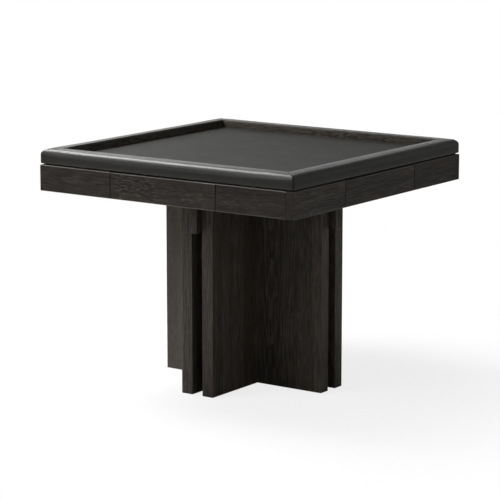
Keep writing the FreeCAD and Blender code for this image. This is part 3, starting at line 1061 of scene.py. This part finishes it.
@dataclass
class PlayingLeather:
    """The leather stretched over the bottom of the well."""

    edge_roll: float = 0.0012
    ripple: float = 0.00025
    ripple_length: float = 0.16
    cuts: int = 70

    def build(self) -> Piece:
        """Models the leather.

        Returns:
            The leather.
        """
        low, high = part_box("playing_surface")
        self.side = high.x - low.x
        Workbench.clear()
        bpy.ops.mesh.primitive_plane_add(size=self.side, location=(0, 0, high.z))
        leather = bpy.context.object
        leather.name = "playing_leather"
        bpy.ops.object.transform_apply(location=True)
        bpy.ops.object.mode_set(mode="EDIT")
        bpy.ops.mesh.subdivide(number_cuts=self.cuts)
        Workbench.pick(leather)
        Workbench.apply(leather, "SOLIDIFY", thickness=high.z - low.z, offset=-1.0)
        Workbench.apply(leather, "BEVEL", width=self.edge_roll, segments=3, limit_method="ANGLE")
        clouds = bpy.data.textures.new("leather_ripple", "CLOUDS")
        clouds.noise_scale = self.ripple_length
        Workbench.apply(leather, "DISPLACE", texture=clouds, strength=self.ripple, direction="Z")
        Workbench.smooth(leather)
        return leather

    def dress(self, piece: Piece, leather: Leather) -> None:
        """Gives the piece its leather and its place on the table.

        Args:
            piece: The modelled leather.
            leather: Its finish.
        """
        Workbench.dress(piece, leather.material())
        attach(piece, "table")
        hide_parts("playing_surface")


@dataclass
class DrawerFelts:
    """A felt mat on the bottom of each drawer."""

    gap: float = 0.0006  # between the mat and the sides
    thickness: float = 0.0018
    corner: float = 0.004
    edge_roll: float = 0.0005

    def build(self) -> list[Piece]:
        """Models the front drawer's mat and copies it to the other drawers.

        Returns:
            The four mats.
        """
        low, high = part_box("front_drawer_box")
        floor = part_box("front_drawer_bottom")[1].z
        margin = DRAWER_WALL + self.gap
        self.flat = (high.x - low.x - 2 * margin, high.y - low.y - 2 * margin)
        middle = (low + high) / 2
        Workbench.clear()
        bpy.ops.mesh.primitive_plane_add(size=1.0)
        mat = bpy.context.object
        bpy.ops.object.mode_set(mode="EDIT")
        bpy.ops.transform.resize(value=(*self.flat, 1.0))
        bpy.ops.mesh.bevel(offset=self.corner, segments=4, affect="VERTICES")
        bpy.ops.transform.translate(value=(middle.x, middle.y, floor + self.thickness))
        Workbench.pick(mat)
        Workbench.apply(mat, "SOLIDIFY", thickness=self.thickness, offset=-1.0)
        Workbench.apply(mat, "BEVEL", width=self.edge_roll, segments=2, limit_method="ANGLE")
        Workbench.smooth(mat)
        return Workbench.copy_round(mat, "drawer_felt")

    def dress(self, mats: Sequence[Piece], felt: Felt) -> None:
        """Gives the mats their felt and lays them in their drawers.

        Args:
            mats: The four mats.
            felt: Their finish.
        """
        material = felt.material()
        for mat, side in zip(mats, Side):
            Workbench.dress(mat, material)
            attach(mat, side.prefix + "_drawer")


@dataclass
class Woodwork:
    """The construction model's boards, dowels and fittings, each under its finish."""

    leaf: float = 0.118  # width of the veneer leaves on the pedestal
    wear: float = 0.18  # how much of the stain has gone from the edges
    front_wear: float = 1.0  # and on the front's level boards, where it is mostly a painted highlight along the edges
    figure: float = 0.1  # how much the short, wavy figure of most boards stands out
    panel_lift: float = 0.05  # how much paler the pedestal's boards are than the apron's
    light: Colour = (0.0555, 0.0480, 0.0375)  # the light wood of most boards
    wall_light: Colour = (0.0548, 0.0482, 0.0402)  # and of the walls of the well
    wall_node: str = "rim_core"  # how the names of those walls end
    # boards with a tone of their own, partly real and partly painted light: paler or darker for how
    # brightly each is lit
    pale_boards: tuple[tuple[str, float], ...] = (
        ("left_arm_right_panel", 0.16),
        ("back_rim_core", 0.06),
        ("left_rim_core", 0.04),
        ("front_apron_left", 0.015),
        ("front_drawer_front", 0.012),
        ("front_apron_right", -0.03),
        ("right_apron_left", 0.016),
    )
    figured_boards: tuple[tuple[str, float], ...] = (
        ("rim_core", 0.7),
        ("front_drawer_front", 0.6),
        ("front_apron_right", 0.45),
        ("front_apron_left", 0.02),
    )

    def dress(self) -> None:
        """Puts a finish on every node of the construction model, by the slot that its record names."""
        plain = {finish.name: finish.material() for finish in PLAIN_FINISHES}
        slots = {row["node"]: row["material_slot"] for row in frame["record"]["subparts"]}
        for number, (name, node) in enumerate(sorted(frame["nodes"].items())):
            slot = slots[name]
            if slot == "dark_oak":
                Workbench.dress(node, self._oak(name, number).material())
            elif slot == "drawer_birch":
                Workbench.dress(node, self._birch(name).material())
            elif slot in plain:
                Workbench.dress(node, plain[slot])
            log.info("%s: %s", name, slot)

    def _oak(self, name: str, number: int) -> StainedOak:
        """The oak of one board.

        Args:
            name: The board's node.
            number: What sets its figure apart.

        Returns:
            The finish.
        """
        lie = Lie.UPRIGHT if "panel" in name or "rail" in name else Lie.LEVEL
        side = Side.of(name)
        turn = Matrix.Rotation(-side.value * QUARTER_TURN, 3, "Z")
        if lie is Lie.UPRIGHT:
            upright = Matrix.Rotation(QUARTER_TURN, 3, "X") @ Matrix.Rotation(QUARTER_TURN, 3, "Y")
            turn = upright @ turn
        low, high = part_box(name)
        lift = self.panel_lift if lie is Lie.UPRIGHT else 0.0
        return StainedOak(
            name="oak_" + name,
            turn=tuple(turn.to_euler()),
            shift=tuple(turn @ ((low + high) / -2)),
            half=tuple(abs(part) for part in turn @ ((high - low) / 2)),
            number=number,
            leaf=self.leaf if lie is Lie.UPRIGHT else 0.0,
            # painted light and own tone, listed board by board, else the pedestal's lift
            paler=dict(self.pale_boards).get(name, lift),
            # the front's level boards get a painted highlight along their edges
            wear=self.front_wear if lie is Lie.LEVEL and side is Side.FRONT else self.wear,
            figure=self._figure(name),
            light=self.wall_light if name.endswith(self.wall_node) else self.light,
        )

    def _figure(self, name: str) -> float:
        """How much the figure of one board stands out."""
        named = (figure for ending, figure in self.figured_boards if name.endswith(ending))
        return next(named, self.figure)

    def _birch(self, name: str) -> BirchPly:
        """The birch of one drawer's box."""
        turn = (0.0, 0.0, -Side.of(name).value * QUARTER_TURN)
        return BirchPly("birch_" + name, turn, side_inside=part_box("front_drawer_box")[1].x - DRAWER_WALL)


# Studio


@dataclass
class Studio:
    """The pale floor, the soft lamps and the camera."""

    azimuth: float = math.radians(35.1528)
    elevation: float = math.radians(10.6387)
    distance: float = 7.4676
    lens: float = 162.165
    aim: Point = (-0.0121, 0.0, 0.4308)
    floor_side: float = 40.0
    floor_colour: Colour = (0.8, 0.8, 0.8)
    floor_clear: tuple[float, float] = (0.5, 1.5)  # from the middle, where its shading fades to white
    floor_glow: float = 0.8  # how much of the floor's shading is taken out beside the table
    fill: float = 0.25  # strength of the surroundings as a light
    sky_rise: tuple[float, float] = (0.17, 0.45)  # heights between which their reflections grow dimmer
    sky_top: float = 0.3  # how bright they are overhead
    sky_right: tuple[float, float] = (0.1, 0.5)  # how far to the right they grow dimmer too
    sky_side: float = 0.55  # how much of them is left on the right

    def build(self) -> None:
        """Sets up the whole studio."""
        scene = bpy.context.scene
        scene.view_settings.view_transform = "Standard"
        self._floor()
        self._surroundings()
        for lamp in Lamp:
            self._lamp(lamp)
        scene.camera = self._camera()

    def _lamp(self, lamp: Lamp) -> None:
        """Hangs one soft lamp that faces the table.

        Args:
            lamp: The lamp.
        """
        place, width, power = lamp.value
        light = bpy.data.lights.new(lamp.name.lower(), "AREA")
        light.shape = "DISK"
        light.size = width
        light.energy = power
        holder = bpy.data.objects.new(light.name, light)
        holder.location = place
        holder.rotation_euler = (Vector(self.aim) - Vector(place)).to_track_quat("-Z", "Y").to_euler()
        bpy.context.scene.collection.objects.link(holder)

    def _camera(self) -> bpy.types.Object:
        """Places the camera at the photograph's angle.

        Returns:
            The camera.
        """
        level = math.cos(self.elevation)
        right, behind = math.sin(self.azimuth) * level, -math.cos(self.azimuth) * level
        back = Vector((right, behind, math.sin(self.elevation)))
        lens = bpy.data.cameras.new("camera")
        lens.lens = self.lens
        camera = bpy.data.objects.new(lens.name, lens)
        camera.location = Vector(self.aim) + back * self.distance
        camera.rotation_euler = back.to_track_quat("Z", "Y").to_euler()
        bpy.context.scene.collection.objects.link(camera)
        return camera

    def _surroundings(self) -> None:
        """White to the eye, a soft fill as a light, and in reflections dimmer above and on the right."""
        world = bpy.data.worlds.new("surroundings")
        bpy.context.scene.world = world
        bench = NodeBench(world)
        path = bench.node("ShaderNodeLightPath")
        seen = Signal(bench, path.outputs["Is Camera Ray"])
        reflected, passed = path.outputs["Is Glossy Ray"], path.outputs["Is Transmission Ray"]
        mirrored = bench.maths("MAXIMUM", reflected, passed)
        right, _, upward = bench.parts(bench.node("ShaderNodeTexCoord").outputs["Generated"])
        sky = 1 - upward.rising(*self.sky_rise) * (1 - self.sky_top)
        sky = sky * (1 - right.rising(*self.sky_right) * (1 - self.sky_side))
        other = self.fill + mirrored * (sky - self.fill)
        strength = other + seen * (1 - other)
        white = {"Color": (1.0, 1.0, 1.0, 1.0), "Strength": strength}
        background = bench.node("ShaderNodeBackground", white)
        bench.node("ShaderNodeOutputWorld", {"Surface": background.outputs[0]})

    def _floor(self) -> None:
        """Lays the floor, which shows the table's shadow and fades to white away from it."""
        Workbench.clear()
        bpy.ops.mesh.primitive_plane_add(size=self.floor_side)
        floor = bpy.context.object
        floor.name = "floor"
        bench = FinishBench("pale_floor")
        x, y, _ = bench.parts(bench.place())
        away = bench.maths("SQRT", x * x + y * y).rising(*self.floor_clear)
        seen = Signal(bench, bench.node("ShaderNodeLightPath").outputs["Is Camera Ray"])
        shade = bench.node("ShaderNodeBsdfDiffuse", {"Color": (*self.floor_colour, 1.0)})
        glow = bench.node("ShaderNodeEmission", {"Strength": 1.0})
        share = seen * (self.floor_glow + away * (1 - self.floor_glow))
        layers = {0: share, 1: shade.outputs[0], 2: glow.outputs[0]}
        mixed = bench.node("ShaderNodeMixShader", layers)
        bench.node("ShaderNodeOutputMaterial", {"Surface": mixed.outputs[0]})
        Workbench.dress(floor, bench.material)


def main() -> None:
    """Builds the table's sub-assemblies in order and reports each piece."""
    logging.basicConfig(level=logging.INFO, format="%(message)s")
    Woodwork().dress()
    rim = PaddedRim()
    pads = rim.build()
    rim.dress(pads, RIM_LEATHER)
    playing = PlayingLeather()
    surface = playing.build()
    playing.dress(surface, PLAYING_LEATHER)
    felts = DrawerFelts()
    mats = felts.build()
    felts.dress(mats, Felt("drawer_felt"))
    for piece in [*pads, surface, *mats]:
        log.info("%s: %d faces", piece.name, len(piece.data.polygons))
    Studio().build()


if __name__ == "__main__":
    main()
